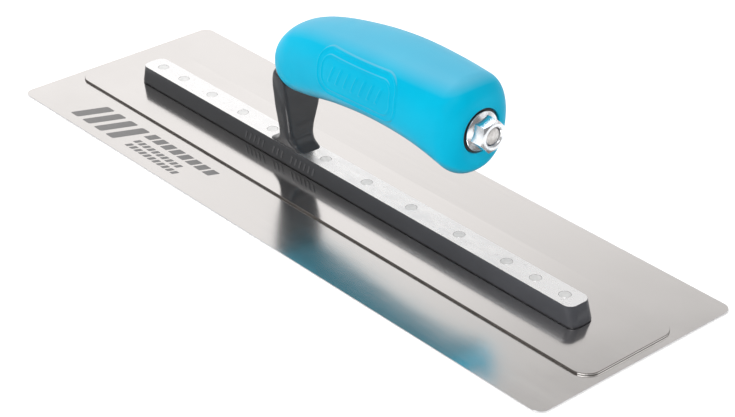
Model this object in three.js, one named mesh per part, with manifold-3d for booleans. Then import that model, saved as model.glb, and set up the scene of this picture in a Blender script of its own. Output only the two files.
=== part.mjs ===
// Steel finishing trowel: a thin rectangular blade with a backing plate, a cast aluminium
// shank held down by twelve flush rivets, and a two-shot handle pulled on by a flange nut.
// Millimetres, +Z up. +X runs along the blade towards the nut end of the handle, and the
// origin is the centre of the blade's flat working face.
import * as THREE from "three";
import { LoftGeometry } from "three/addons/geometries/LoftGeometry.js";
import { mergeVertices } from "three/addons/utils/BufferGeometryUtils.js";
import Module from "manifold-3d";

const wasm = await Module();
wasm.setup();

// ---- driving dimensions ----

const GAP = 0.3; // clearance between fitted pieces

const BLADE = { length: 355, width: 114, thickness: 0.6, corner: 5 };
const PLATE = { length: 347, width: 54, thickness: 1, corner: 8 };

const PLATE_FLOOR = BLADE.thickness;
const BAR_FLOOR = PLATE_FLOOR + PLATE.thickness;
const BAR = {
  top: 10.7,
  footRear: -149.1,
  footFront: 146.9,
  footWidth: 13.5,
  topRear: -147.6,
  topFront: 144.2,
  topWidth: 12.7,
  corner: 4,
};

const RIVET = { shankRadius: 2, headRadius: 2.6, headDepth: 1.6 };
const RIVET_X = [-138.4, -121.8, -99.5, -75.5, -53.5, -15.2, 13, 42.4, 72.6, 101.4, 118.4, 135.2];

// The neck rises from the bar and widens sideways into the cup that seats the handle.
const NECK = {
  z: [9, 10.7, 12.7, 14.7, 19, 25, 32, 39, 44, 47.8, 50.2, 51.6],
  rear: [-48.4, -48.4, -44.2, -42, -40.2, -40, -39.9, -39.8, -40, -40, -39.8, -39.2],
  front: [-24.8, -24.8, -28.8, -30.8, -32.1, -31.6, -31, -31.3, -32, -32.4, -32.8, -33.6],
  halfWidth: [6.1, 6.1, 6.7, 7.3, 8.3, 9.4, 10.8, 11.8, 12.3, 12.3, 11.6, 10.2],
  corner: [2.4, 2.4, 2.4, 2.6, 3, 3, 3, 3, 3, 3.2, 3, 2.4],
};

// Inside the handle the neck narrows to a tang, which turns forward through a quarter circle
// into the boss that the stud is screwed into.
const TANG = {
  x: -35.6,
  floor: 36,
  turnRadius: 17,
  end: -2,
  rootThickness: 7,
  bossThickness: 13,
  rootHalfWidth: 4.2,
  bossHalfWidth: 7,
  corner: 2.8,
};

// The handle is a loft along X from its domed rear end to its flat front end.
const HANDLE = {
  rear: -43.9,
  front: 83.7,
  knots: [0, 0.2, 0.4, 0.6, 0.8, 1],
  top: [67.4, 79.8, 85.7, 88.7, 89, 88.2],
  bottom: [39.9, 43.3, 48.6, 50.9, 49.2, 42.1],
  halfWidth: [13.3, 16.5, 19.5, 20.6, 20.3, 18.8],
  domeFraction: 0.157,
  domePower: 2.3,
  frontRounding: 8.9,
  frontSlant: 0.026,
  squareness: 2.3,
};
const GRIP_SKIN = 2.5;

const FASTENER_Z = 65.3;
const STUD = { radius: 4, rear: -14, front: 90.4, chamfer: 0.8 };
const NUT = {
  seat: 83.1,
  flangeRadius: 8.9,
  rim: 1.2,
  flangeTop: 3.1,
  acrossFlats: 13,
  height: 8,
  turn: THREE.MathUtils.degToRad(-15.4),
};
const NUT_RECESS_RADIUS = 10.1;

// ---- solids ----

// A closed geometry as a manifold-3d solid.
function solid(geometry) {
  geometry.deleteAttribute("normal");
  geometry.deleteAttribute("uv");
  const merged = mergeVertices(geometry, 1e-4);
  return new wasm.Manifold(
    new wasm.Mesh({
      numProp: 3,
      vertProperties: new Float32Array(merged.attributes.position.array),
      triVerts: new Uint32Array(merged.index.array),
    }),
  );
}

// A manifold-3d solid back as a three.js geometry.
function geometryOf(body) {
  const mesh = body.getMesh();
  const geometry = new THREE.BufferGeometry();
  geometry.setAttribute("position", new THREE.BufferAttribute(mesh.vertProperties, 3));
  geometry.setIndex(new THREE.BufferAttribute(mesh.triVerts, 1));
  geometry.computeVertexNormals();
  return geometry;
}

// Points round a rounded rectangle, counterclockwise, with its corners as arcs.
function roundedRectangle(xLow, xHigh, halfWidth, corner, arcSteps) {
  const centres = [
    [xHigh - corner, halfWidth - corner],
    [xLow + corner, halfWidth - corner],
    [xLow + corner, corner - halfWidth],
    [xHigh - corner, corner - halfWidth],
  ];
  const points = [];
  centres.forEach(([x, y], quadrant) => {
    for (let step = 0; step <= arcSteps; step += 1) {
      const angle = (quadrant + step / arcSteps) * (Math.PI / 2);
      points.push(new THREE.Vector2(x + corner * Math.cos(angle), y + corner * Math.sin(angle)));
    }
  });
  return points;
}

// A rounded rectangle centred on the origin, extruded up from a floor height.
function roundedSlab(length, width, corner, floor, thickness) {
  const outline = new THREE.Shape(
    roundedRectangle(-length / 2, length / 2, width / 2, corner, 8),
  );
  const slab = new THREE.ExtrudeGeometry(outline, { depth: thickness, bevelEnabled: false });
  return slab.translate(0, 0, floor);
}

// A loft through rounded rectangles, each at its own height.
function upwardLoft(levels, arcSteps) {
  const sections = levels.map(({ z, rear, front, halfWidth, corner }) =>
    roundedRectangle(rear, front, halfWidth, corner, arcSteps).map(
      (point) => new THREE.Vector3(point.x, point.y, z),
    ),
  );
  return new LoftGeometry(sections, { capStart: true, capEnd: true });
}

// A solid of revolution whose axis runs along +X at the fastener's height.
function turnedAlongX(profile, segments) {
  return new THREE.LatheGeometry(profile, segments)
    .rotateZ(-Math.PI / 2)
    .translate(0, 0, FASTENER_Z);
}

// A plain round bar along +X at the fastener's height.
function roundBar(radius, from, to, segments) {
  const profile = [
    new THREE.Vector2(0, from),
    new THREE.Vector2(radius, from),
    new THREE.Vector2(radius, to),
    new THREE.Vector2(0, to),
  ];
  return turnedAlongX(profile, segments);
}

// ---- handle loft ----

function smooth(values) {
  const curve = new THREE.CubicInterpolant(HANDLE.knots, values, 1);
  return (t) => curve.evaluate(t)[0];
}

const handleTop = smooth(HANDLE.top);
const handleBottom = smooth(HANDLE.bottom);
const handleHalfWidth = smooth(HANDLE.halfWidth);

// How far the handle is drawn in at its front edge, at a distance from the front face.
function frontDrawIn(distance) {
  const rounding = HANDLE.frontRounding;
  if (distance >= rounding) {
    return 0;
  }
  return rounding - Math.sqrt(rounding ** 2 - (rounding - distance) ** 2);
}

// One closed section of the handle at t along its length, drawn in evenly by inset.
function handleSection(t, inset, points) {
  const fullLength = HANDLE.front - HANDLE.rear;
  const dome =
    t < HANDLE.domeFraction
      ? Math.sqrt(1 - (1 - t / HANDLE.domeFraction) ** HANDLE.domePower)
      : 1;
  const drawIn = frontDrawIn((1 - t) * fullLength);
  const centre = (handleTop(t) + handleBottom(t)) / 2;
  const halfHeight = ((handleTop(t) - handleBottom(t)) / 2 - drawIn - inset) * dome;
  const halfWidth = (handleHalfWidth(t) - drawIn - inset) * dome;
  const rear = HANDLE.rear + inset;
  const front = HANDLE.front - inset;
  const power = 2 / HANDLE.squareness;
  const section = [];
  for (let i = 0; i < points; i += 1) {
    const angle = (i / points) * Math.PI * 2;
    const across = Math.cos(angle);
    const up = Math.sin(angle);
    const y = halfWidth * Math.sign(across) * Math.abs(across) ** power;
    const z = centre + halfHeight * Math.sign(up) * Math.abs(up) ** power;
    const x = rear + (front - rear) * t + HANDLE.frontSlant * (z - FASTENER_Z) * t ** 3;
    section.push(new THREE.Vector3(x, y, z));
  }
  return section;
}

// Stations lie closer together at the domed rear and at the rounded front edge.
function handleLoft(inset, stations, points) {
  const firstStation = 0.002;
  const sections = [];
  for (let i = 0; i < stations; i += 1) {
    const even = i / (stations - 1);
    const eased = (1 - Math.cos(even * Math.PI)) / 2;
    const t = firstStation + (1 - firstStation) * (0.8 * eased + 0.2 * even);
    sections.push(handleSection(t, inset, points));
  }
  return solid(new LoftGeometry(sections, { capStart: true, capEnd: true }));
}

// ---- pieces ----

function bladeGeometry() {
  return roundedSlab(BLADE.length, BLADE.width, BLADE.corner, 0, BLADE.thickness);
}

// A rivet's solid, standing on the blade and finishing flush with the bar's top, grown by
// a clearance when it is used to cut the hole that it sits in.
function rivetGeometry(x, clearance) {
  const reach = clearance > 0 ? 1 : 0;
  const floor = PLATE_FLOOR - reach;
  const neck = BAR.top - RIVET.headDepth;
  const profile = [
    new THREE.Vector2(0, floor),
    new THREE.Vector2(RIVET.shankRadius + clearance, floor),
    new THREE.Vector2(RIVET.shankRadius + clearance, neck),
    new THREE.Vector2(RIVET.headRadius + clearance, BAR.top),
    new THREE.Vector2(RIVET.headRadius + clearance, BAR.top + reach),
    new THREE.Vector2(0, BAR.top + reach),
  ].filter((point, i) => clearance > 0 || i !== 4);
  return new THREE.LatheGeometry(profile, 16).rotateX(Math.PI / 2).translate(x, 0, 0);
}

function withRivetHoles(body) {
  return RIVET_X.reduce((left, x) => left.subtract(solid(rivetGeometry(x, GAP))), body);
}

function backingPlateGeometry() {
  const slab = roundedSlab(PLATE.length, PLATE.width, PLATE.corner, PLATE_FLOOR, PLATE.thickness);
  return geometryOf(withRivetHoles(solid(slab)));
}

function neckLevels() {
  return NECK.z.map((z, i) => ({
    z,
    rear: NECK.rear[i],
    front: NECK.front[i],
    halfWidth: NECK.halfWidth[i],
    corner: NECK.corner[i],
  }));
}

// One section of the tang, square to its path, at a turn from vertical in radians.
function tangSection(x, z, turn, clearance) {
  const share = turn / (Math.PI / 2);
  const half = THREE.MathUtils.lerp(TANG.rootThickness, TANG.bossThickness, share) / 2 + clearance;
  const halfWidth = THREE.MathUtils.lerp(TANG.rootHalfWidth, TANG.bossHalfWidth, share) + clearance;
  return roundedRectangle(-half, half, halfWidth, TANG.corner + clearance, 4).map(
    (point) =>
      new THREE.Vector3(x + point.x * Math.cos(turn), point.y, z - point.x * Math.sin(turn)),
  );
}

function tangSolid(clearance) {
  const turnSteps = 6;
  const turnCentre = { x: TANG.x + TANG.turnRadius, z: FASTENER_Z - TANG.turnRadius };
  const sections = [tangSection(TANG.x, TANG.floor, 0, clearance)];
  for (let step = 0; step <= turnSteps; step += 1) {
    const turn = (step / turnSteps) * (Math.PI / 2);
    const x = turnCentre.x - TANG.turnRadius * Math.cos(turn);
    const z = turnCentre.z + TANG.turnRadius * Math.sin(turn);
    sections.push(tangSection(x, z, turn, clearance));
  }
  sections.push(tangSection(TANG.end + clearance, FASTENER_Z, Math.PI / 2, clearance));
  return solid(new LoftGeometry(sections, { capStart: true, capEnd: true }));
}

// The bar, the neck with its cup, and the tang with the stud's hole, cast as one piece.
function shankGeometry() {
  const bar = solid(
    upwardLoft(
      [
        { z: BAR_FLOOR, rear: BAR.footRear, front: BAR.footFront, halfWidth: BAR.footWidth / 2 },
        { z: BAR.top, rear: BAR.topRear, front: BAR.topFront, halfWidth: BAR.topWidth / 2 },
      ].map((level) => ({ ...level, corner: BAR.corner })),
      6,
    ),
  );
  const neck = solid(upwardLoft(neckLevels(), 4)).subtract(handleLoft(-GAP, 26, 36));
  const tang = tangSolid(0);
  const studHole = solid(roundBar(STUD.radius + GAP, STUD.rear - GAP, TANG.end + 1, 24));
  return geometryOf(withRivetHoles(bar).add(neck).add(tang).subtract(studHole));
}

// The hard black liner: it fills the grip, takes the tang and the stud, and its front end
// shows as a ring round the nut's flange.
function handleCoreGeometry() {
  const body = handleLoft(GRIP_SKIN + GAP, 18, 28);
  const nose = solid(roundBar(NUT_RECESS_RADIUS - GAP, HANDLE.front - 12, NUT.seat, 40));
  const bore = solid(roundBar(STUD.radius + GAP, TANG.end - 1, NUT.seat + 2, 24));
  return geometryOf(body.add(nose).subtract(bore).subtract(tangSolid(GAP)));
}

// The soft blue overmould: a shell open at the front for the nut and below for the tang.
function handleGripGeometry() {
  const outside = handleLoft(0, 26, 36);
  const inside = handleLoft(GRIP_SKIN, 18, 28);
  const recess = solid(roundBar(NUT_RECESS_RADIUS, HANDLE.front - 14, HANDLE.front + 4, 40));
  return geometryOf(outside.subtract(inside).subtract(recess).subtract(tangSolid(GAP)));
}

function tieStudGeometry() {
  const { radius, rear, front, chamfer } = STUD;
  const profile = [
    new THREE.Vector2(0, rear),
    new THREE.Vector2(radius - chamfer, rear),
    new THREE.Vector2(radius, rear + chamfer),
    new THREE.Vector2(radius, front - chamfer),
    new THREE.Vector2(radius - chamfer, front),
    new THREE.Vector2(0, front),
  ];
  return turnedAlongX(profile, 24);
}

// A hexagon nut with a round flange, its hexagon chamfered at the front.
function flangeNutGeometry() {
  const seat = NUT.seat;
  const cornerRadius = NUT.acrossFlats / Math.sqrt(3);
  const flange = turnedAlongX(
    [
      new THREE.Vector2(0, seat),
      new THREE.Vector2(NUT.flangeRadius, seat),
      new THREE.Vector2(NUT.flangeRadius, seat + NUT.rim),
      new THREE.Vector2(NUT.acrossFlats / 2, seat + NUT.flangeTop),
      new THREE.Vector2(0, seat + NUT.flangeTop),
    ],
    40,
  );
  const hexagon = new THREE.CylinderGeometry(cornerRadius, cornerRadius, NUT.height, 6)
    .rotateY(NUT.turn)
    .rotateZ(-Math.PI / 2)
    .translate(seat + NUT.height / 2, 0, FASTENER_Z);
  const chamferRadius = NUT.acrossFlats / 2 - 0.2;
  const chamferDepth = 1;
  const envelope = turnedAlongX(
    [
      new THREE.Vector2(0, seat),
      new THREE.Vector2(cornerRadius + 0.5, seat),
      new THREE.Vector2(cornerRadius + 0.5, seat + NUT.height - chamferDepth),
      new THREE.Vector2(chamferRadius, seat + NUT.height),
      new THREE.Vector2(0, seat + NUT.height),
    ],
    40,
  );
  const bore = roundBar(STUD.radius + GAP, seat - 1, seat + NUT.height + 1, 24);
  const hexagonBody = solid(hexagon).intersect(solid(envelope));
  return geometryOf(solid(flange).add(hexagonBody).subtract(solid(bore)));
}

// ---- assembly ----

const steel = { color: 0xcfcdca, roughness: 0.25, metalness: 1 };
const castAluminium = { color: 0x46474a, roughness: 0.55, metalness: 0.3 };
const rivetSteel = { color: 0xb4b4b6, roughness: 0.4, metalness: 1 };
const blackPlastic = { color: 0x17181a, roughness: 0.6, metalness: 0 };
const blueRubber = { color: 0x12b8e4, roughness: 0.5, metalness: 0 };
const zinc = { color: 0xd6dadd, roughness: 0.25, metalness: 1 };

const trowel = new THREE.Group();

function place(name, geometry, finish) {
  const mesh = new THREE.Mesh(geometry, new THREE.MeshStandardMaterial(finish));
  mesh.name = name;
  trowel.add(mesh);
}

place("blade", bladeGeometry(), steel);
place("backing_plate", backingPlateGeometry(), steel);
place("shank", shankGeometry(), castAluminium);
RIVET_X.forEach((x, i) => {
  const number = String(i + 1).padStart(2, "0");
  place(`rivet_${number}`, rivetGeometry(x, 0), rivetSteel);
});
place("handle_core", handleCoreGeometry(), blackPlastic);
place("handle_grip", handleGripGeometry(), blueRubber);
place("tie_stud", tieStudGeometry(), zinc);
place("flange_nut", flangeNutGeometry(), zinc);

export default trowel;
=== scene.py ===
"""Looks of a steel finishing trowel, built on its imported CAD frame. Blender lengths are metres."""

import math

import bmesh
import bpy
from mathutils import Matrix, Vector


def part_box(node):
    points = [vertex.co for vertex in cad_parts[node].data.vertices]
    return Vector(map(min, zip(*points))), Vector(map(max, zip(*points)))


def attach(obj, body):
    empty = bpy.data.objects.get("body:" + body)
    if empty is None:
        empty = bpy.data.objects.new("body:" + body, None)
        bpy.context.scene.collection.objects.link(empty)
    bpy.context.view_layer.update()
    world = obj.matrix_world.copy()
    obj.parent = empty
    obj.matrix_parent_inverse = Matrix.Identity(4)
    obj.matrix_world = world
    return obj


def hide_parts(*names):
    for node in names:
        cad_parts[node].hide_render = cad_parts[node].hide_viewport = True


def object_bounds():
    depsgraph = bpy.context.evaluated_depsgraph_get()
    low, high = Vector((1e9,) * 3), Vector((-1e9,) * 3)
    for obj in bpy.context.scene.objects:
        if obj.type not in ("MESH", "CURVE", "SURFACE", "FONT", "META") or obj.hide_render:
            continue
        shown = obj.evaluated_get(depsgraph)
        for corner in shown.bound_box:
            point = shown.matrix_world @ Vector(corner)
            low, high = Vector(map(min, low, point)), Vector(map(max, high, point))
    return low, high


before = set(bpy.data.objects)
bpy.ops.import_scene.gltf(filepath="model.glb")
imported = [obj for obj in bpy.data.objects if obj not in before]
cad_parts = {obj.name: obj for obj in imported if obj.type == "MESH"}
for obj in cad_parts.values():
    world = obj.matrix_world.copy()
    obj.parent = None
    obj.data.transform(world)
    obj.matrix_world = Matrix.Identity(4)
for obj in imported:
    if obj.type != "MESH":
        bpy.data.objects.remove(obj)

CAD_LOW, CAD_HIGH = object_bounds()
BODY = "root"
MM = 0.001

# ---- sizes from the frame, in millimetres ----


def box_mm(node):
    low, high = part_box(node)
    return [v / MM for v in low], [v / MM for v in high]


BLADE_TOP = box_mm("blade")[1][2]
NUT_LOW, NUT_HIGH = box_mm("flange_nut")
STUD_LOW, STUD_HIGH = box_mm("tie_stud")
SHANK_BASE = box_mm("shank")[0][2]
RIVET_NODES = sorted(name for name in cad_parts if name.startswith("rivet_"))

BLADE_CORNER = 5
BLADE_BEVEL = 0.12
PLATE_CORNER = 8
PLATE_BEVEL = 0.24

# The bar's plan at its foot and at its top rim, the shadow gap at its foot and its top edge.
BAR_TOP = box_mm(RIVET_NODES[0])[1][2]
BAR_FOOT = {"rear": -149.1, "front": 146.9, "width": 13.5}
BAR_RIM = {"rear": -147.6, "front": 144.2, "width": 12.7}
BAR_CORNER = 4
BAR_GAP = {"depth": 0.5, "height": 0.5, "draft": 0.05, "slope": 0.15}
BAR_EDGE = {"height": 0.1, "inset": 0.05}

RIVET_HEAD = 2.6
RIVET_CLEARANCE = 0.07
RIVET_POCKET = 1.2
RIVET_SHAFT = 2.0
# Distances in from the head's rim and down from the bar's top, from the shaft to the dished face.
RIVET_PROFILE = ((0.6, 1.6), (0, 0.8), (0, 0.1), (0.08, 0.01), (0.3, 0), (1.3, 0.02))
RIVET_DISH = 0.04

# The neck's sections from its root to the cup: height, rear, front, half width and corner radius.
NECK_Z = (9, 10.7, 12.7, 14.7, 19, 25, 32, 39, 44, 47.8, 50.2, 51.6)
NECK_REAR = (-48.4, -48.4, -44.2, -42, -40.2, -39.9, -39.7, -39.5, -39.6, -39.6, -39.4, -38.9)
NECK_FRONT = (-24.8, -24.8, -28.5, -30.3, -31.5, -31.1, -30.6, -30.9, -31.6, -32, -32.5, -33.4)
NECK_HALF = (6.1, 6.1, 6.7, 7.3, 8.3, 9.4, 10.8, 11.8, 12.3, 12.3, 11.6, 10.2)
NECK_CORNER = (2.4, 2.6, 3.2, 3.4, 3.2, 3, 3, 3, 3, 3.2, 3, 2.4)
NECK_LEVELS = 84
CUP_CLEARANCE = 0.3

# The handle's outline at six even stations along its length.
HANDLE_TOP = (67.4, 79.8, 85.7, 88.7, 89, 88.2)
HANDLE_BOTTOM = (39.9, 43.3, 48.6, 50.9, 49.2, 42.1)
HANDLE_HALF = (13.3, 16.5, 19.5, 20.6, 20.3, 18.8)
HANDLE_REAR = -43.9
HANDLE_FRONT = 83.7
DOME_SHARE = 0.157
DOME_POWER = 2.3
FRONT_ROUNDING = 8.9
FRONT_SLANT = 0.026
SQUARENESS = 2.3
# The first ring of the plain form and of the grip, as shares of the length. Both are nearly a point.
FIRST_SHARE = 0.0006
GRIP_FIRST_SHARE = 0.0004

AXIS_Z = (STUD_LOW[2] + STUD_HIGH[2]) / 2
RECESS_RADIUS = 10.1
RECESS_LIP = 0.45
RECESS_DEPTH = 0.9
LIP_STEPS = 5
CORE_RADIUS = RECESS_RADIUS - 0.25
CORE_LENGTH = 9
CORE_BORE = 4.3
CORE_BORE_DEPTH = 6
SEAT_SINK = 0.12
NUT_ACROSS_FLATS = 13
NUT_TURN = math.radians(-15.4)
NUT_SKIRT = 2.7
NUT_EDGE = 0.14
NUT_EDGE_ANGLE = 28
THREAD_PITCH = 1.25
THREAD_DEPTH = 0.45
THREAD_STEPS = 14
STUD_BEHIND_SEAT = 4
STUD_CHAMFER = 0.75

# A point this close to an axis stands for one on it, so that a turned profile's rings stay open.
ON_AXIS = 0.02
WELD_DISTANCE = 0.002

# Rows of slanted marks: start, base, width, gap, height, number and corner radius. The levels
# are heights over the surface, with how far the outline is drawn in at each.
PRINT_SLANT = 0.42
PRINT_ROWS = (
    (-145, -51.5, 6.2, 3.4, 17, 4, 1.3),
    (-102, -39.4, 5.0, 1.4, 5.4, 8, 0.5),
    (-101.5, -46, 2.5, 1.0, 3.3, 10, 0.5),
    (-101.5, -50.9, 2.5, 1.0, 3.3, 11, 0.5),
)
PRINT_LEVELS = ((-0.005, 0), (0.007, 0), (0.012, 0.05))
RELIEF_SLANT = 0.3
RELIEF_ROWS = (
    (-66, 3.6, 1.1, 2.0, 4.2, 5, 0.35),
    (-46, 3.6, 1.1, 2.0, 4.2, 3, 0.35),
    (-33, 3.6, 1.1, 2.0, 4.2, 6, 0.35),
)
RELIEF_LEVELS = ((-0.05, 0), (0.12, 0), (0.22, 0.1))

# The relief moulded into both sides of the grip: two rounded outlines, as half length, half
# height and corner radius, round a row of slanted ridges.
EMBLEM_CENTRE_X = 27.0
EMBLEM_CENTRE_Z = 71.0
EMBLEM_TILT = 0.06
EMBLEM_HEIGHT = 0.42
EMBLEM_OUTER = (25.5, 10.6, 8)
EMBLEM_INNER = (22.4, 7.6, 5.5)
EMBLEM_RIDGES = {"each_side": 3, "pitch": 5.2, "slant": 0.45, "half_width": 0.95}
EMBLEM_RIDGE_ENDS = (3.2, 4.4)
# The part of the skin that is meshed finely for the relief.
PANEL_HALF_LENGTH = 29.0
PANEL_HALF_HEIGHT = 15.0
SIDE_HALF_ANGLE = 0.8
SIDE_STEPS = 118
TOP_STEPS = 52
GRIP_STEPS = {"rear_end": 46, "rear": 36, "panel": 220, "front": 30, "nose": 34}

# ---- mesh helpers ----


def make_object(name, surface, materials, sharp_degrees=35):
    """A mesh object from points in millimetres and faces, smooth except at its sharp edges."""
    vertices, faces = surface
    mesh = bpy.data.meshes.new(name)
    mesh.from_pydata([Vector(v) * MM for v in vertices], [], faces)
    for material in materials:
        mesh.materials.append(material)
    obj = bpy.data.objects.new(name, mesh)
    bpy.context.scene.collection.objects.link(obj)
    weld(obj)
    smooth(obj, sharp_degrees)
    return obj


def weld(obj):
    """Merges touching points and turns every face outwards."""
    work = bmesh.new()
    work.from_mesh(obj.data)
    bmesh.ops.remove_doubles(work, verts=work.verts, dist=WELD_DISTANCE * MM)
    bmesh.ops.dissolve_degenerate(work, edges=work.edges, dist=1e-7)
    bmesh.ops.recalc_face_normals(work, faces=work.faces)
    work.to_mesh(obj.data)
    work.free()


def smooth(obj, sharp_degrees):
    mesh = obj.data
    mesh.polygons.foreach_set("use_smooth", [True] * len(mesh.polygons))
    mesh.set_sharp_from_angle(angle=math.radians(sharp_degrees))


def skin(rings):
    """Points and faces of a closed tube through rings that all have as many points."""
    count = len(rings[0])
    vertices = [point for ring in rings for point in ring]
    faces = []
    for level in range(len(rings) - 1):
        low, high = level * count, (level + 1) * count
        for i in range(count):
            j = (i + 1) % count
            faces.append((low + i, low + j, high + j, high + i))
    faces.append(tuple(range(count - 1, -1, -1)))
    faces.append(tuple(range((len(rings) - 1) * count, len(rings) * count)))
    return vertices, faces


def rounded_rectangle(x_low, x_high, half_width, corner, z, arc_steps):
    """A ring of points round a rounded rectangle at one height."""
    centres = (
        (x_high - corner, half_width - corner),
        (x_low + corner, half_width - corner),
        (x_low + corner, corner - half_width),
        (x_high - corner, corner - half_width),
    )
    ring = []
    for quadrant, (x, y) in enumerate(centres):
        for step in range(arc_steps + 1):
            angle = (quadrant + step / arc_steps) * math.pi / 2
            ring.append((x + corner * math.cos(angle), y + corner * math.sin(angle), z))
    return ring


def turned(profile, segments, centre, along_x=False):
    """A solid of revolution from (radius, distance) pairs, about +Z or about +X."""
    rings = []
    for radius, distance in profile:
        ring = []
        for i in range(segments):
            angle = 2 * math.pi * i / segments
            a, b = radius * math.cos(angle), radius * math.sin(angle)
            offset = (distance, a, b) if along_x else (a, b, distance)
            ring.append(tuple(c + o for c, o in zip(centre, offset)))
        rings.append(ring)
    return skin(rings)


def turned_on_stud(profile, segments):
    return turned(profile, segments, (0, 0, AXIS_Z), True)


def combine(obj, other, operation):
    """Applies a boolean of two mesh objects to the first and removes the second."""
    modifier = obj.modifiers.new("combine", "BOOLEAN")
    modifier.operation = operation
    modifier.solver = "EXACT"
    modifier.object = other
    apply_modifiers(obj)
    bpy.data.objects.remove(other)


def apply_modifiers(obj):
    evaluated = obj.evaluated_get(bpy.context.evaluated_depsgraph_get())
    mesh = bpy.data.meshes.new_from_object(evaluated)
    obj.modifiers.clear()
    obj.data = mesh


def finish_piece(obj, slot, *nodes):
    """Rides on the only body and stands for its CAD nodes, which it hides. The slot is not used."""
    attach(obj, BODY)
    if nodes:
        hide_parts(*nodes)
    return obj


def lerp(a, b, share):
    return a + (b - a) * share


def smoothstep(low, high, value):
    share = min(max((value - low) / (high - low), 0), 1)
    return share * share * (3 - 2 * share)


# ---- material helpers ----


class Look:
    """A node material that is built up from procedural textures."""

    def __init__(self, name):
        self.material = bpy.data.materials.new(name)
        self.material.use_nodes = True
        self.tree = self.material.node_tree
        self.shader = self.tree.nodes["Principled BSDF"]

    def node(self, kind, inputs=None, **settings):
        made = self.tree.nodes.new("ShaderNode" + kind)
        for key, value in settings.items():
            setattr(made, key, value)
        for key, value in (inputs or {}).items():
            self.feed(made.inputs[key], value)
        return made

    def feed(self, socket, value):
        if isinstance(value, bpy.types.NodeSocket):
            self.tree.links.new(value, socket)
        else:
            socket.default_value = value

    def place(self, scale=(1, 1, 1), turn=(0, 0, 0)):
        """Object coordinates in millimetres, stretched by a scale."""
        coords = self.node("TexCoord").outputs["Object"]
        full = tuple(s / MM for s in scale)
        mapping = self.node("Mapping", {"Vector": coords, "Scale": full, "Rotation": turn})
        return mapping.outputs["Vector"]

    def noise(self, where, scale, detail, roughness):
        made = self.node(
            "TexNoise",
            {"Vector": where, "Scale": scale, "Detail": detail, "Roughness": roughness},
        )
        return made.outputs["Fac"]

    def spots(self, where, scale):
        return self.node("TexVoronoi", {"Vector": where, "Scale": scale}).outputs["Distance"]

    def spread(self, value, low, high, to_low, to_high):
        made = self.node(
            "MapRange",
            {"Value": value, "From Min": low, "From Max": high, "To Min": to_low, "To Max": to_high},
        )
        return made.outputs["Result"]

    def between(self, noise, to_low, to_high, margin=0.3):
        """A noise mapped to a range: its values mostly lie in the middle, between two margins."""
        return self.spread(noise, margin, 1 - margin, to_low, to_high)

    def math(self, operation, a, b=0.0):
        made = self.node("Math", {0: a, 1: b}, operation=operation)
        return made.outputs["Value"]

    def mix(self, share, first, second):
        made = self.node("Mix", {"Factor": share}, data_type="RGBA")
        self.feed(made.inputs["A"], first)
        self.feed(made.inputs["B"], second)
        return made.outputs["Result"]

    def bump(self, height, distance_mm, strength=1.0, under=None):
        inputs = {"Height": height, "Distance": distance_mm * MM, "Strength": strength}
        if under is not None:
            inputs["Normal"] = under
        return self.node("Bump", inputs).outputs["Normal"]

    def finish(self, **inputs):
        """Feeds the shader's sockets, named with underscores for spaces."""
        for key, value in inputs.items():
            self.feed(self.shader.inputs[key.replace("_", " ")], value)
        return self.material


def tone(red, green, blue):
    return (red, green, blue, 1.0)


# ---- materials: sizes of bumps and places are in millimetres ----

SCRATCH_TURN = math.radians(11)
SMUDGE_SHARE = 0.65
# Painted light: the casting's colour runs from its shaded rear to its lit front between these
# positions along X.
PAINTED_LIGHT_START, PAINTED_LIGHT_END = -40, 120
CUTTER_BOW = 0.09
CUTTER_LINES = 5.2
CUTTER_WOBBLE = 9.0
# Painted shade: the tone the grip's colour turns to where its skin faces down.
UNDERSIDE_SHADE_TONE = (0.10, 0.18, 0.21)
# Painted highlight: the paler tone the grip's colour turns to where its skin faces up.
TOP_HIGHLIGHT_TONE = (0.2, 0.5, 0.66)


def brushed_steel(name, bright, dull, roughness):
    """Stainless sheet brushed along X, with handling smudges and a few fine scratches."""
    look = Look(name)
    grain = look.noise(look.place((0.03, 3.2, 1)), 1.0, 5, 0.7)
    streaks = look.noise(look.place((0.012, 0.55, 1)), 1.0, 3, 0.6)
    smudge = look.noise(look.place((0.022, 0.03, 1)), 1.0, 4, 0.6)
    across = look.place((0.05, 4.5, 1), (0, 0, SCRATCH_TURN))
    scratch = look.spread(look.noise(across, 1.0, 1, 0.3), 0.76, 0.8, 0.0, 1.0)
    fine_part = look.math("MULTIPLY", grain, 1 - SMUDGE_SHARE)
    mixed = look.math("ADD", fine_part, look.math("MULTIPLY", smudge, SMUDGE_SHARE))
    colour = look.mix(look.between(mixed, 0.0, 1.0, 0.35), tone(*dull), tone(*bright))
    rough = look.math(
        "ADD",
        look.between(smudge, roughness * 0.85, roughness * 1.2),
        look.between(streaks, -0.009, 0.009, 0.35),
    )
    rough = look.math("ADD", rough, look.math("MULTIPLY", scratch, 0.05))
    fine = look.bump(grain, 0.0012, 0.6)
    normal = look.bump(scratch, 0.001, 0.5, fine)
    return look.finish(
        Base_Color=colour, Metallic=1.0, Roughness=rough, Normal=normal, Anisotropic=0.35
    )


def sheared_steel(name, dark, light):
    """The cut edge of a steel sheet: torn, dull and slightly stained."""
    look = Look(name)
    where = look.place()
    torn = look.noise(where, 1.6, 5, 0.7)
    stain = look.noise(where, 0.08, 3, 0.6)
    share = look.math("ADD", look.math("MULTIPLY", torn, 0.5), look.math("MULTIPLY", stain, 0.5))
    colour = look.mix(look.between(share, 0.0, 1.0, 0.35), tone(*dark), tone(*light))
    return look.finish(
        Base_Color=colour, Metallic=0.25, Specular_IOR_Level=0.3,
        Roughness=look.between(torn, 0.45, 0.65),
        Normal=look.bump(torn, 0.02, 0.5),
    )


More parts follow.
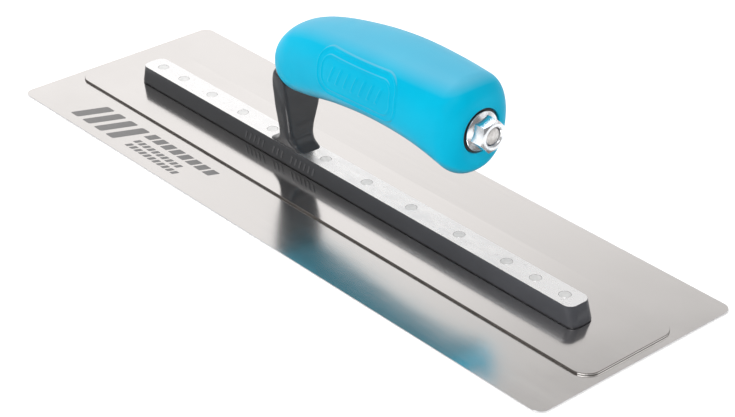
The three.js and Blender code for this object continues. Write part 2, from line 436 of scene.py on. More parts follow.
def cast_charcoal(name, rear, front):
    """Charcoal lacquer over a die casting, specked where it is worn. It is darker at the rear and
    lighter at the front: painted shade and painted light for light that falls from the front.
    """
    look = Look(name)
    where = look.place()
    skin_grain = look.noise(where, 1.3, 5, 0.65)
    pits = look.spread(look.spots(where, 0.75), 0.05, 0.3, 0.0, 1.0)
    drift = look.between(look.noise(where, 0.045, 3, 0.5), 0.0, 1.0)
    along = look.node("SeparateXYZ", {0: look.place()}).outputs["X"]
    # Painted shade and light: the tone runs from the darker rear to the lighter front.
    lacquer = look.mix(
        look.spread(along, PAINTED_LIGHT_START, PAINTED_LIGHT_END, 0.0, 1.0), tone(*rear), tone(*front)
    )
    base = look.mix(look.math("MULTIPLY", drift, 0.35), lacquer, tone(0.040, 0.042, 0.048))
    flecks = look.spread(look.noise(where, 2.6, 2, 0.5), 0.66, 0.75, 0.0, 0.35)
    colour = look.mix(flecks, base, tone(0.10, 0.10, 0.105))
    return look.finish(
        Base_Color=colour, Metallic=0.0,
        Specular_IOR_Level=0.12, Coat_Weight=0.5, Coat_Roughness=0.16,
        Roughness=look.between(skin_grain, 0.32, 0.42),
        Normal=look.bump(skin_grain, 0.03, 0.3, look.bump(pits, 0.02, 0.2)),
    )


def milled_aluminium():
    """Fly-cut aluminium: close curved cutter marks with bright and dull patches."""
    look = Look("milled_aluminium")
    parts = look.node("SeparateXYZ", {0: look.node("TexCoord").outputs["Object"]})
    x = look.math("DIVIDE", parts.outputs["X"], MM)
    y = look.math("DIVIDE", parts.outputs["Y"], MM)
    bow = look.math("MULTIPLY", look.math("MULTIPLY", y, y), CUTTER_BOW)
    sweep = look.math("MULTIPLY", look.math("ADD", x, bow), CUTTER_LINES)
    wobble = look.noise(look.place((0.05, 0.2, 1)), 1.0, 3, 0.6)
    wobble = look.math("MULTIPLY", wobble, CUTTER_WOBBLE)
    lines = look.math("SINE", look.math("ADD", sweep, wobble))
    patches = look.noise(look.place((0.11, 0.25, 1)), 1.0, 4, 0.65)
    colour = look.mix(
        look.between(patches, 0.0, 1.0), tone(0.94, 0.94, 0.95), tone(0.99, 0.99, 0.99)
    )
    flecks = look.noise(look.place((0.5, 0.8, 1)), 1.0, 3, 0.7)
    colour = look.mix(look.spread(flecks, 0.6, 0.74, 0.0, 0.5), colour, tone(0.55, 0.55, 0.56))
    return look.finish(
        Base_Color=colour, Metallic=0.92,
        Roughness=look.between(patches, 0.33, 0.22),
        Normal=look.bump(lines, 0.003, 0.3, look.bump(patches, 0.03, 0.2)),
    )


def rivet_steel():
    """A rivet's head milled with the bar: fine cutter lines and a few dull blotches."""
    look = Look("rivet_face_steel")
    grain = look.noise(look.place((0.5, 3.0, 1)), 1.0, 4, 0.6)
    blotch = look.noise(look.place(), 0.5, 3, 0.6)
    colour = look.mix(
        look.between(blotch, 0.0, 1.0), tone(0.76, 0.77, 0.77), tone(0.88, 0.88, 0.88)
    )
    return look.finish(
        Base_Color=colour, Metallic=1.0,
        Roughness=look.between(grain, 0.28, 0.4),
        Normal=look.bump(grain, 0.004, 0.4),
    )


def soft_blue():
    """Satin blue overmould with a fine moulded grain, a painted shade underneath and a painted
    highlight on top.
    """
    look = Look("blue_overmould")
    where = look.place()
    grain = look.noise(where, 3.4, 3, 0.6)
    stipple = look.spread(look.spots(where, 2.1), 0.1, 0.55, 0.0, 1.0)
    drift = look.between(look.noise(where, 0.05, 3, 0.5), 0.0, 1.0)
    fresh = look.mix(drift, tone(0.0, 0.46, 0.71), tone(0.0, 0.50, 0.75))
    facing = look.node("SeparateXYZ", {0: look.node("NewGeometry").outputs["Normal"]})
    upward = facing.outputs["Z"]
    # Painted shade: darker where the skin faces down.
    colour = look.mix(look.spread(upward, -0.4, -0.8, 0.0, 0.7), fresh, tone(*UNDERSIDE_SHADE_TONE))
    # Painted highlight: paler where the skin faces up.
    colour = look.mix(look.spread(upward, 0.6, 0.9, 0.0, 0.5), colour, tone(*TOP_HIGHLIGHT_TONE))
    polished = look.between(look.noise(where, 0.09, 4, 0.6), 0.44, 0.36, 0.35)
    return look.finish(
        Base_Color=colour, Specular_IOR_Level=0.06,
        Roughness=look.math("ADD", polished, look.between(grain, -0.03, 0.04)),
        Normal=look.bump(stipple, 0.02, 0.2, look.bump(grain, 0.015, 0.25)),
    )


def black_plastic():
    """Hard black plastic with a fine grain and a little pale dust."""
    look = Look("black_plastic")
    where = look.place()
    grain = look.noise(where, 2.4, 4, 0.6)
    dust = look.spread(look.noise(where, 0.7, 4, 0.7), 0.55, 0.8, 0.0, 0.5)
    colour = look.mix(dust, tone(0.012, 0.013, 0.014), tone(0.05, 0.05, 0.052))
    return look.finish(
        Base_Color=colour,
        Roughness=look.between(grain, 0.38, 0.5),
        Normal=look.bump(grain, 0.02, 0.4),
    )


def bright_zinc():
    """Bright zinc with its faint blue passivation and a fine crystalline mottle."""
    look = Look("bright_zinc")
    where = look.place()
    mottle = look.noise(where, 0.9, 4, 0.6)
    tint = look.between(look.noise(where, 0.22, 2, 0.5), 0.0, 1.0, 0.35)
    return look.finish(
        Base_Color=look.mix(tint, tone(0.76, 0.79, 0.83), tone(0.90, 0.91, 0.92)), Metallic=1.0,
        Roughness=look.between(mottle, 0.18, 0.28),
        Normal=look.bump(mottle, 0.02, 0.35),
    )


def cut_zinc():
    """The sawn end of a zinc-plated stud."""
    look = Look("stud_cut_steel")
    saw = look.noise(look.place((1, 0.5, 3.2), (0.5, 0, 0)), 1.0, 4, 0.65)
    blotch = look.between(look.noise(look.place(), 0.8, 3, 0.6), 0.0, 1.0)
    return look.finish(
        Base_Color=look.mix(blotch, tone(0.66, 0.64, 0.62), tone(0.84, 0.82, 0.81)), Metallic=0.8,
        Roughness=look.between(saw, 0.36, 0.55),
        Normal=look.bump(saw, 0.05, 0.6),
    )


def print_ink():
    """Thin grey ink, a little worn, so that some of the brushed steel shows through it."""
    look = Look("grey_print_ink")
    wear = look.noise(look.place((0.25, 2.6, 1)), 1.0, 4, 0.65)
    worn = look.spread(wear, 0.62, 0.78, 0.0, 0.8)
    return look.finish(
        Base_Color=look.mix(worn, tone(0.20, 0.195, 0.195), tone(0.42, 0.41, 0.41)),
        Metallic=look.spread(worn, 0.0, 1.0, 0.15, 0.6),
        Roughness=look.between(wear, 0.42, 0.6),
        Normal=look.bump(wear, 0.004, 0.4),
    )


STEEL = brushed_steel("blade_steel", (0.81, 0.788, 0.775), (0.766, 0.745, 0.732), 0.17)
PLATE_STEEL = brushed_steel("plate_steel", (0.818, 0.796, 0.783), (0.775, 0.753, 0.74), 0.12)
# Bright steel for the plate's +X end edge: a painted highlight where light falls on that end.
LIT_END_EDGE = brushed_steel("lit_end_edge_steel", (0.97, 0.96, 0.95), (0.9, 0.89, 0.88), 0.34)
BLADE_EDGE = brushed_steel("blade_edge_steel", (0.78, 0.78, 0.79), (0.66, 0.66, 0.68), 0.3)
PLATE_EDGE = sheared_steel("sheared_edge_steel", (0.08, 0.073, 0.067), (0.15, 0.135, 0.125))
# The casting's darker rear and lighter front tones are painted shade and painted light.
CHARCOAL = cast_charcoal("charcoal_casting", (0.042, 0.044, 0.048), (0.074, 0.077, 0.088))
# A lighter charcoal for the raised relief marks: a painted highlight.
RELIEF_HIGHLIGHT_CHARCOAL = cast_charcoal("charcoal_relief", (0.085, 0.087, 0.092), (0.11, 0.112, 0.12))
MILLED = milled_aluminium()
RIVET_FACE = rivet_steel()
BLUE = soft_blue()
BLACK = black_plastic()
ZINC = bright_zinc()
STUD_END = cut_zinc()
INK = print_ink()

# ---- blade and backing plate ----


def sheet_metal(name, node, corner, bevel, materials):
    """A flat sheet in its node's box, with rounded corners and a fine bevel round both faces.

    The materials are those of the faces, of the edge and of the edge's flat at the +X end. A lighter
    material on that flat is a painted highlight."""
    low, high = box_mm(node)
    levels = (
        (low[2], bevel * 0.6),
        (low[2] + bevel, 0),
        (high[2] - bevel, 0),
        (high[2], bevel * 0.6),
    )
    rings = []
    for z, inset in levels:
        x_low, x_high, half_width = low[0] + inset, high[0] - inset, high[1] - inset
        rings.append(rounded_rectangle(x_low, x_high, half_width, corner - inset, z, 14))
    sheet = make_object(name, skin(rings), materials, 12)
    for polygon in sheet.data.polygons:
        normal = polygon.normal
        # The +X end's edge can take its own material: on the plate, a painted highlight.
        edge = 2 if normal.x > 0.3 and abs(normal.z) < 0.1 else 1
        polygon.material_index = 0 if abs(normal.z) > 0.9 else edge
    return sheet


def rounded_polygon(corners, radius, steps=5):
    """The outline of a convex polygon whose corners are rounded, as (u, v) points."""
    outline = []
    count = len(corners)
    for i, corner in enumerate(corners):
        here = Vector(corner)
        before = (Vector(corners[i - 1]) - here).normalized()
        after = (Vector(corners[(i + 1) % count]) - here).normalized()
        start, end = here + before * radius, here + after * radius
        for step in range(steps + 1):
            share = step / steps
            outline.append(start.lerp(here, share).lerp(here.lerp(end, share), share))
    return outline


def slanted_bar(u, v, width, height, slant):
    """The corners of an upright bar whose top leans along +u."""
    lean = slant * height
    return ((u, v), (u + width, v), (u + width + lean, v + height), (u + lean, v + height))


def mark_outlines(rows, slant):
    """The outlines of rows of equal slanted bars with rounded corners."""
    outlines = []
    for start, base, width, gap, height, count, radius in rows:
        for k in range(count):
            corners = slanted_bar(start + (width + gap) * k, base, width, height, slant)
            outlines.append(rounded_polygon(corners, radius))
    return outlines


def raised_marks(name, outlines, place, levels, material):
    """Low raised shapes from flat outlines. place(u, v, lift) gives a point over the surface."""
    vertices, faces = [], []
    for outline in outlines:
        centre = sum(outline, Vector((0, 0))) / len(outline)
        rings = []
        for lift, inset in levels:
            ring = []
            for point in outline:
                moved = point + (centre - point).normalized() * inset
                ring.append(place(moved.x, moved.y, lift))
            rings.append(ring)
        points, quads = skin(rings)
        faces += [tuple(i + len(vertices) for i in quad) for quad in quads]
        vertices += points
    return make_object(name, (vertices, faces), (material,), 40)


def make_blade():
    blade = sheet_metal(
        "blade_sheet", "blade", BLADE_CORNER, BLADE_BEVEL, (STEEL, BLADE_EDGE, BLADE_EDGE)
    )
    return finish_piece(blade, "blade_steel", "blade")


def make_print():
    """A plain printed pattern on the blade: four broad slanted bars and three rows of dashes."""

    def place(u, v, lift):
        return (u, v, BLADE_TOP + lift)

    outlines = mark_outlines(PRINT_ROWS, PRINT_SLANT)
    ink = raised_marks("blade_print", outlines, place, PRINT_LEVELS, INK)
    return finish_piece(ink, "blade_steel")


def make_plate():
    plate = sheet_metal(
        "backing_plate_sheet", "backing_plate", PLATE_CORNER, PLATE_BEVEL,
        (PLATE_STEEL, PLATE_EDGE, LIT_END_EDGE),
    )
    return finish_piece(plate, "plate_steel", "backing_plate")


# ---- handle form ----


def along_knots(values, t):
    """The smooth curve through evenly spaced values, with straight ends."""
    last = len(values) - 1
    i = min(int(t * last), last - 1)
    p = t * last - i
    before = values[i - 1] if i > 0 else values[i + 1]
    after = values[i + 2] if i < last - 1 else values[i]
    w_before = 0.5 if i > 0 else -0.5
    w_after = 0.5 if i < last - 1 else -0.5
    p2, p3 = p * p, p * p * p
    return (
        before * (2 * w_before * p2 - w_before * p3 - w_before * p)
        + values[i] * ((1 + w_before) * p3 - (1.5 + 2 * w_before) * p2 + (w_before - 0.5) * p + 1)
        + values[i + 1] * ((1.5 + w_after) * p2 - (1 + w_after) * p3 + 0.5 * p)
        + after * (w_after * p3 - w_after * p2)
    )


def handle_frame(t, inset=0.0):
    """Half height, half width, centre height and length position of one handle section."""
    dome = 1.0
    if t < DOME_SHARE:
        dome = math.sqrt(max(1 - (1 - t / DOME_SHARE) ** DOME_POWER, 0))
    distance = (1 - t) * (HANDLE_FRONT - HANDLE_REAR)
    draw_in = 0.0
    if distance < FRONT_ROUNDING:
        draw_in = FRONT_ROUNDING - math.sqrt(FRONT_ROUNDING**2 - (FRONT_ROUNDING - distance) ** 2)
    top, bottom = along_knots(HANDLE_TOP, t), along_knots(HANDLE_BOTTOM, t)
    half_height = ((top - bottom) / 2 - draw_in - inset) * dome
    half_width = (along_knots(HANDLE_HALF, t) - draw_in - inset) * dome
    x = lerp(HANDLE_REAR + inset, HANDLE_FRONT - inset, t)
    return half_height, half_width, (top + bottom) / 2, x


def handle_point(t, angle, inset=0.0):
    """A point on the handle at a polar angle from +Y towards +Z round the section's centre."""
    half_height, half_width, centre, x = handle_frame(t, inset)
    c, s = math.cos(angle), math.sin(angle)
    reach = (abs(c / half_width) ** SQUARENESS + abs(s / half_height) ** SQUARENESS) ** (
        -1 / SQUARENESS
    )
    z = centre + reach * s
    return Vector((x + FRONT_SLANT * (z - AXIS_Z) * t**3, reach * c, z))


def stations(count):
    """Shares of the handle's length that lie closer together at its two ends."""
    shares = []
    for i in range(count):
        even = i / (count - 1)
        eased = (1 - math.cos(even * math.pi)) / 2
        shares.append(lerp(FIRST_SHARE, 1, lerp(even, eased, 0.8)))
    return shares


def plain_handle(name, inset, count, around):
    """The handle's form without its relief or recess."""
    rings = [
        [handle_point(t, 2 * math.pi * i / around, inset) for i in range(around)]
        for t in stations(count)
    ]
    return make_object(name, skin(rings), ())


# ---- shank ----


def level_value(values, z):
    """A smooth curve through the neck's section values, with a parabola's slope at each."""
    last = len(NECK_Z) - 1
    steps = [NECK_Z[k + 1] - NECK_Z[k] for k in range(last)]
    rises = [(values[k + 1] - values[k]) / steps[k] for k in range(last)]
    slopes = [rises[0]]
    for k in range(1, last):
        slopes.append((steps[k] * rises[k - 1] + steps[k - 1] * rises[k]) / (steps[k - 1] + steps[k]))
    slopes.append(rises[-1])
    i = max(k for k in range(last) if NECK_Z[k] <= z or k == 0)
    step = NECK_Z[i + 1] - NECK_Z[i]
    p = (z - NECK_Z[i]) / step
    p2, p3 = p * p, p * p * p
    return (
        values[i] * (2 * p3 - 3 * p2 + 1)
        + slopes[i] * step * (p3 - 2 * p2 + p)
        + values[i + 1] * (3 * p2 - 2 * p3)
        + slopes[i + 1] * step * (p3 - p2)
    )


def neck_rings():
    """Rings that lie closer together towards the root fillet."""
    rings = []
    for k in range(NECK_LEVELS + 1):
        z = lerp(NECK_Z[0], NECK_Z[-1], (k / NECK_LEVELS) ** 1.25)
        rear, front, half, corner = (
            level_value(values, z) for values in (NECK_REAR, NECK_FRONT, NECK_HALF, NECK_CORNER)
        )
        rings.append(rounded_rectangle(rear, front, half, corner, z, 10))
    return rings


def bar_section(z):
    """Rear, front and half width of the drafted bar at a height."""
    share = (z - SHANK_BASE) / (BAR_TOP - SHANK_BASE)
    rear, front, width = (lerp(BAR_FOOT[k], BAR_RIM[k], share) for k in ("rear", "front", "width"))
    return rear, front, width / 2


def bar_rings():
    """The bar with its drafted sides, a shadow gap at the foot and a crisp top edge."""
    gap_top = SHANK_BASE + BAR_GAP["height"]
    profile = (
        (SHANK_BASE, BAR_GAP["depth"] + BAR_GAP["draft"]),
        (gap_top, BAR_GAP["depth"]),
        (gap_top + BAR_GAP["slope"], 0),
        (BAR_TOP - BAR_EDGE["height"], 0),
        (BAR_TOP, BAR_EDGE["inset"]),
    )
    rings = []
    for z, inset in profile:
        rear, front, half = bar_section(z)
        corner = BAR_CORNER - inset
        rings.append(rounded_rectangle(rear + inset, front - inset, half - inset, corner, z, 16))
    return rings


def make_bar_marks():
    """Cast relief on the bar's near side below the neck: groups of small slanted ribs."""

    def place(u, v, lift):
        return (u, -bar_section(v)[2] - lift, v)

    outlines = mark_outlines(RELIEF_ROWS, RELIEF_SLANT)
    # The ribs take the lighter charcoal, a painted highlight on the relief.
    marks = raised_marks("shank_relief", outlines, place, RELIEF_LEVELS, RELIEF_HIGHLIGHT_CHARCOAL)
    return finish_piece(marks, "cast_shank")


def rivet_centre(node):
    low, high = box_mm(node)
    return ((low[0] + high[0]) / 2, 0, 0)


def make_shank():
    """The casting: bar and neck in one, a cup that fits the handle, and a pocket per rivet."""
    shank = make_object("shank_casting", skin(bar_rings()), (CHARCOAL, MILLED))
    neck = make_object("neck", skin(neck_rings()), (CHARCOAL, MILLED))
    combine(neck, plain_handle("cup_cutter", -CUP_CLEARANCE, 150, 128), "DIFFERENCE")
    combine(shank, neck, "UNION")
    pocket_radius = RIVET_HEAD + RIVET_CLEARANCE
    pocket = ((pocket_radius, BAR_TOP - RIVET_POCKET), (pocket_radius, BAR_TOP + 1))
    for node in RIVET_NODES:
        cutter = make_object("rivet_cutter", turned(pocket, 48, rivet_centre(node)), (CHARCOAL,))
        combine(shank, cutter, "DIFFERENCE")
    smooth(shank, 32)
    for polygon in shank.data.polygons:
        level = abs(polygon.center.z / MM - BAR_TOP) < 0.05
        polygon.material_index = 1 if level and polygon.normal.z > 0.9 else 0
    return finish_piece(shank, "cast_shank", "shank")


def make_rivet(node):
    """A rivet milled flush: a faint dished face inside a fine chamfered rim."""
    profile = [(ON_AXIS, SHANK_BASE), (RIVET_SHAFT, SHANK_BASE)]
    profile += [(RIVET_HEAD - inset, BAR_TOP - depth) for inset, depth in RIVET_PROFILE]
    profile += [(ON_AXIS, BAR_TOP - RIVET_DISH)]
    solid = turned(profile, 56, rivet_centre(node))
    rivet = make_object(node + "_turned", solid, (RIVET_FACE,), 30)
    return finish_piece(rivet, "rivet_steel", node)


# ---- grip ----


def rounded_box_distance(x, y, half_x, half_y, corner):
    """The distance out from a rounded rectangle's edge, negative inside it."""
    dx, dy = abs(x) - half_x + corner, abs(y) - half_y + corner
    outside = math.hypot(max(dx, 0), max(dy, 0))
    return outside + min(max(dx, dy), 0) - corner


def ridge(distance, half_width):
    """A smooth raised line where the distance from its middle is small."""
    return 1 - smoothstep(half_width * 0.35, half_width, abs(distance))


def emblem_height(x, z):
    """Height of the moulded relief on the grip's side, in millimetres."""
    u = x - EMBLEM_CENTRE_X
    v = z - EMBLEM_CENTRE_Z - EMBLEM_TILT * u
    outline = rounded_box_distance(u, v, *EMBLEM_OUTER)
    height = ridge(outline, 0.8)
    if outline < -1.6:
        height = max(height, 0.7 * ridge(rounded_box_distance(u, v, *EMBLEM_INNER), 0.7))
    if outline < -4:
        ends = 1 - smoothstep(*EMBLEM_RIDGE_ENDS, abs(v))
        for k in range(-EMBLEM_RIDGES["each_side"], EMBLEM_RIDGES["each_side"] + 1):
            offset = (u - EMBLEM_RIDGES["pitch"] * k) - v * EMBLEM_RIDGES["slant"]
            height = max(height, ridge(offset, EMBLEM_RIDGES["half_width"]) * ends)
    return EMBLEM_HEIGHT * height


def grip_angles():
    """Polar angles round the section, closer together on the two sides with the relief."""
    side = SIDE_HALF_ANGLE
    spans = (
        (-side, side, SIDE_STEPS),
        (side, math.pi - side, TOP_STEPS),
        (math.pi - side, math.pi + side, SIDE_STEPS),
        (math.pi + side, 2 * math.pi - side, TOP_STEPS),
    )
    return [lerp(start, end, i / count) for start, end, count in spans for i in range(count)]


def share_at(x):
    """The share of the handle's length at a position along X."""
    return (x - HANDLE_REAR) / (HANDLE_FRONT - HANDLE_REAR)


def grip_stations():
    """Shares along the length: fine over the relief and at the rounded ends."""
    first = share_at(EMBLEM_CENTRE_X - PANEL_HALF_LENGTH)
    last = share_at(EMBLEM_CENTRE_X + PANEL_HALF_LENGTH)
    rounding = share_at(HANDLE_FRONT - FRONT_ROUNDING)
    shares = {name: [i / count for i in range(1, count + 1)] for name, count in GRIP_STEPS.items()}
    rear_end = [DOME_SHARE * share**2 for share in shares["rear_end"]]
    rear = [lerp(DOME_SHARE, first, share) for share in shares["rear"]]
    panel = [lerp(first, last, share) for share in shares["panel"]]
    front = [lerp(last, rounding, share) for share in shares["front"]]
    nose = [lerp(rounding, 1, math.sin(math.pi / 2 * share)) for share in shares["nose"]]
    return [GRIP_FIRST_SHARE] + rear_end + rear + panel + front + nose


def handle_reach(t, angle):
    """The distance of a point on the handle from the stud's axis."""
    point = handle_point(t, angle)
    return math.hypot(point.y, point.z - AXIS_Z)


def nose_column(angle, lip_radius):
    """The share at which a column of the nose reaches the recess lip, at most 1."""
    if handle_reach(1.0, angle) >= lip_radius:
        return 1.0
    low, high = 0.9, 1.0
    for _ in range(30):
        middle = (low + high) / 2
        if handle_reach(middle, angle) > lip_radius:
            low = middle
        else:
            high = middle
    return low


def grip_point(t, angle):
    """A point of the grip's skin with its moulded relief."""
    point = handle_point(t, angle)
    near = abs(point.z - EMBLEM_CENTRE_Z) < PANEL_HALF_HEIGHT
    if near and abs(point.x - EMBLEM_CENTRE_X) < PANEL_HALF_LENGTH:
        height = emblem_height(point.x, point.z)
        if height > 0:
            step = 0.002
            along = handle_point(min(t + step, 1), angle) - handle_point(t - step, angle)
            around = handle_point(t, angle + step) - handle_point(t, angle - step)
            normal = around.cross(along).normalized()
            if normal.y * point.y < 0:
                normal = -normal
            point = point + normal * height
    return point


def round_the_stud(angles, positions, radius):
    """A ring about the stud's axis at one radius, with a position along X for each angle."""
    return [
        Vector((x, radius * math.cos(angle), AXIS_Z + radius * math.sin(angle)))
        for x, angle in zip(positions, angles)
    ]


def make_grip():
    """The overmould: skin with relief, a flat nose, a rounded lip and the recess for the nut."""
    lip_radius = RECESS_RADIUS + RECESS_LIP
    angles = grip_angles()
    limits = [nose_column(angle, lip_radius) for angle in angles]
    rings = [
        [grip_point(min(t, limit), angle) for angle, limit in zip(angles, limits)]
        for t in grip_stations()
    ]
    edge = rings[-1]
    positions = [point.x for point in edge]
    face = round_the_stud(angles, positions, lip_radius)
    rings.append([a.lerp(b, 0.5) for a, b in zip(edge, face)])
    rings.append(face)
    for step in range(1, LIP_STEPS + 1):
        turn = math.pi / 2 * step / LIP_STEPS
        sink = RECESS_LIP * (1 - math.cos(turn))
        radius = lip_radius - RECESS_LIP * math.sin(turn)
        rings.append(round_the_stud(angles, [x - sink for x in positions], radius))
    floor = [NUT_LOW[0] - RECESS_DEPTH] * len(angles)
    rings.append(round_the_stud(angles, floor, RECESS_RADIUS))
    grip = make_object("grip_overmould", skin(rings), (BLUE,), 50)
    return finish_piece(grip, "blue_overmould", "handle_grip")


def make_core():
    """The liner's front end: a flat seat for the flange with a raised ring at its edge."""
    seat = NUT_LOW[0]
    profile = (
        (ON_AXIS, seat - CORE_LENGTH),
        (CORE_RADIUS, seat - CORE_LENGTH),
        (CORE_RADIUS, seat - 0.35),
        (CORE_RADIUS - 0.25, seat - 0.05),
        (CORE_RADIUS - 0.7, seat),
        (CORE_RADIUS - 0.95, seat - SEAT_SINK),
        (CORE_BORE + 0.3, seat - SEAT_SINK),
        (CORE_BORE, seat - 0.4),
        (CORE_BORE, seat - CORE_BORE_DEPTH),
        (ON_AXIS, seat - CORE_BORE_DEPTH),
    )
    core = make_object("core_front", turned_on_stud(profile, 96), (BLACK,), 30)
    return finish_piece(core, "black_plastic", "handle_core")


# ---- nut and stud ----


def make_nut():
    """A hexagon with chamfered corners that grows out of a coned flange."""
    seat, front = NUT_LOW[0], NUT_HIGH[0]
    flange = (NUT_HIGH[1] - NUT_LOW[1]) / 2
    corner_radius = NUT_ACROSS_FLATS / 2 / math.cos(math.pi / 6)
    corners = [NUT_TURN + math.pi / 2 + k * math.pi / 3 for k in range(6)]
    hexagon = [round_the_stud(corners, [x] * 6, corner_radius) for x in (seat + 0.4, front)]
    envelope = (
        (ON_AXIS, seat),
        (corner_radius + 1, seat),
        (corner_radius + 1, front - 1.75),
        (6.15, front - 0.12),
        (5.9, front),
        (ON_AXIS, front),
    )
    skirt = (
        (ON_AXIS, seat),
        (flange - 0.3, seat),
        (flange - 0.06, seat + 0.15),
        (flange, seat + 0.45),
        (flange - 0.05, seat + 0.85),
        (flange - 0.3, seat + 1.1),
        (7.3, seat + 1.65),
        (6.7, seat + 2.0),
        (6.2, seat + NUT_SKIRT),
        (ON_AXIS, seat + NUT_SKIRT),
    )
    bore = ((5.0, front + 0.3), (4.2, front - 0.6), (4.15, seat - 1))
    nut = make_object("nut_turned", skin(hexagon), (ZINC,))
    for profile, segments, operation in (
        (envelope, 120, "INTERSECT"),
        (skirt, 120, "UNION"),
        (bore, 72, "DIFFERENCE"),
    ):
        shape = make_object("nut_shape", turned_on_stud(profile, segments), (ZINC,))
        combine(nut, shape, operation)
    bevel = nut.modifiers.new("edge", "BEVEL")
    bevel.width = NUT_EDGE * MM
    bevel.segments = 2
    bevel.limit_method = "ANGLE"
    bevel.angle_limit = math.radians(NUT_EDGE_ANGLE)
    apply_modifiers(nut)
    smooth(nut, NUT_EDGE_ANGLE)
    return finish_piece(nut, "nut_zinc", "flange_nut")


def make_stud():
    """A threaded stud: a helical thread runs out at a chamfered, sawn front end."""
    around = 48
    turns = [i / around for i in range(around)]
    radius = (STUD_HIGH[1] - STUD_LOW[1]) / 2
    start, end = NUT_LOW[0] - STUD_BEHIND_SEAT, STUD_HIGH[0]
    steps = int((end - start) / THREAD_PITCH * THREAD_STEPS)
    rings = []
    for k in range(steps + 1):
        x = lerp(start, end, k / steps)
        chamfer = max(0.0, STUD_CHAMFER - (end - x))
        ring = []
        for turn in turns:
            phase = ((x - start) / THREAD_PITCH - turn) % 1
            groove = THREAD_DEPTH * abs(2 * phase - 1)
            reach = radius - max(groove, chamfer)
            angle = 2 * math.pi * turn
            ring.append((x, reach * math.cos(angle), AXIS_Z + reach * math.sin(angle)))
        rings.append(ring)
    stud = make_object("stud_threaded", skin(rings), (ZINC, STUD_END), 60)
    for polygon in stud.data.polygons:
        polygon.material_index = 1 if polygon.normal.x > 0.6 else 0
    return finish_piece(stud, "stud_zinc", "tie_stud")


# ---- assembly ----

make_blade()
make_print()
make_plate()
make_shank()
make_bar_marks()
for rivet_node in RIVET_NODES:
    make_rivet(rivet_node)
make_grip()
make_core()
make_nut()
make_stud()

# ---- floor, light and camera: lengths in metres ----

FLOOR_HALF = 6.0
FLOOR_GAP = 0.0002

# The world's brightness is the product of three curves. Each follows the cosine between the
# view ray and a direction, by (cosine, brightness) points.
WORLD_TINT = (1.0, 0.985, 0.975, 1)
WORLD_CURVES = (
    # A dim patch above the back.
    ((-0.152, 0.452, 0.879),
     ((-1, 0.98), (0.74, 0.98), (0.8, 0.93), (0.865, 0.47), (0.93, 0.32), (1, 0.31))),
    # A slow fall to the right.
    ((1, 0, 0), ((-1, 1), (-0.2, 1), (0.9, 0.2), (1, 0.18))),
    # A fall at the front left.
    ((-0.55, -0.65, 0.52), ((-1, 1), (0.38, 1), (0.8, 0.5), (1, 0.35))),
)

# Softboxes: name, direction, distance, size and radiance.
SOFTBOXES = (
    ("overhead", (-0.48, -0.02, 0.88), 1.5, (1.0, 0.8), 4.5),
    ("front_box", (0.5, -0.46, 0.73), 1.4, (0.4, 0.4), 8),
    ("front_fill", (0.3, -0.87, 0.4), 1.6, (0.5, 0.5), 3.4),
    ("back_right", (0.7, 0.6, 0.42), 1.6, (0.9, 0.7), 0.7),
)

# The camera solved from the blade's four corners.
CAMERA_PLACE = (0.6153, -0.5362, 0.4671)
CAMERA_FORWARD = (-0.645, 0.5748, -0.5035)
CAMERA_RIGHT = (0.6615, 0.7499, 0.0087)
CAMERA_LENS = 101.81


def make_floor():
    """A pale floor just under the blade, lit a little from within to stay white."""
    z = CAD_LOW[2] - FLOOR_GAP
    corners = [(x * FLOOR_HALF, y * FLOOR_HALF, z) for x, y in ((-1, -1), (1, -1), (1, 1), (-1, 1))]
    mesh = bpy.data.meshes.new("studio_floor")
    mesh.from_pydata(corners, [], [(0, 1, 2, 3)])
    look = Look("studio_floor")
    paper = look.noise(look.place((0.01, 0.01, 0.01)), 1.0, 2, 0.5)
    colour = look.mix(paper, tone(0.93, 0.93, 0.93), tone(0.95, 0.95, 0.95))
    mesh.materials.append(look.finish(
        Base_Color=colour, Roughness=0.9, Specular_IOR_Level=0.1,
        Emission_Color=tone(1, 1, 1), Emission_Strength=0.25,
    ))
    floor = bpy.data.objects.new("studio_floor", mesh)
    bpy.context.scene.collection.objects.link(floor)


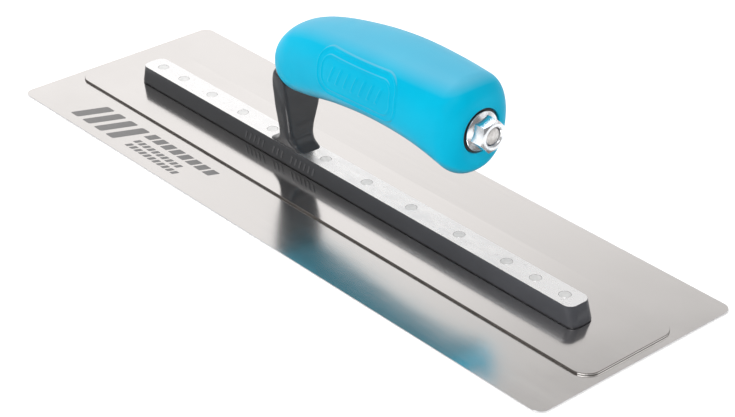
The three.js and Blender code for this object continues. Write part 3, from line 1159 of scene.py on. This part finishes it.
def make_world():
    """Soft white surroundings whose brightness is the product of the world's curves."""
    world = bpy.data.worlds.new("studio")
    bpy.context.scene.world = world
    world.use_nodes = True
    tree = world.node_tree
    ray = tree.nodes.new("ShaderNodeTexCoord").outputs["Generated"]

    def along(direction, points):
        """A brightness that follows the cosine between the ray and a direction."""
        dot = tree.nodes.new("ShaderNodeVectorMath")
        dot.operation = "DOT_PRODUCT"
        tree.links.new(ray, dot.inputs[0])
        dot.inputs[1].default_value = Vector(direction).normalized()
        curve = tree.nodes.new("ShaderNodeFloatCurve")
        tree.links.new(dot.outputs["Value"], curve.inputs["Value"])
        curve.mapping.clip_min_x = -1
        line = curve.mapping.curves[0]
        line.points[0].location = points[0]
        line.points[1].location = points[-1]
        for point in points[1:-1]:
            line.points.new(*point)
        curve.mapping.update()
        return curve.outputs["Value"]

    strength, *factors = [along(direction, points) for direction, points in WORLD_CURVES]
    for factor in factors:
        product = tree.nodes.new("ShaderNodeMath")
        product.operation = "MULTIPLY"
        tree.links.new(strength, product.inputs[0])
        tree.links.new(factor, product.inputs[1])
        strength = product.outputs["Value"]
    background = tree.nodes["Background"]
    tree.links.new(strength, background.inputs["Strength"])
    background.inputs["Color"].default_value = WORLD_TINT


def softbox(name, direction, distance, size, radiance):
    """A rectangular light that faces the object from a direction, as bright as a radiance."""
    light = bpy.data.lights.new(name, "AREA")
    light.shape = "RECTANGLE"
    light.size, light.size_y = size
    light.energy = radiance * math.pi * size[0] * size[1]
    obj = bpy.data.objects.new(name, light)
    obj.location = Vector(direction).normalized() * distance
    obj.rotation_euler = (-obj.location).to_track_quat("-Z", "Y").to_euler()
    bpy.context.scene.collection.objects.link(obj)


def make_camera():
    camera = bpy.data.cameras.new("camera")
    camera.lens = CAMERA_LENS
    camera.sensor_width = 36
    camera.clip_start = 0.01
    camera.dof.use_dof = False
    obj = bpy.data.objects.new("camera", camera)
    forward = Vector(CAMERA_FORWARD).normalized()
    up = Vector(CAMERA_RIGHT).normalized().cross(forward).normalized()
    right = forward.cross(up)
    obj.matrix_world = Matrix((right, up, -forward)).transposed().to_4x4()
    obj.location = CAMERA_PLACE
    bpy.context.scene.collection.objects.link(obj)
    bpy.context.scene.camera = obj


make_floor()
make_world()
for box in SOFTBOXES:
    softbox(*box)
make_camera()
bpy.context.scene.view_settings.view_transform = "Standard"
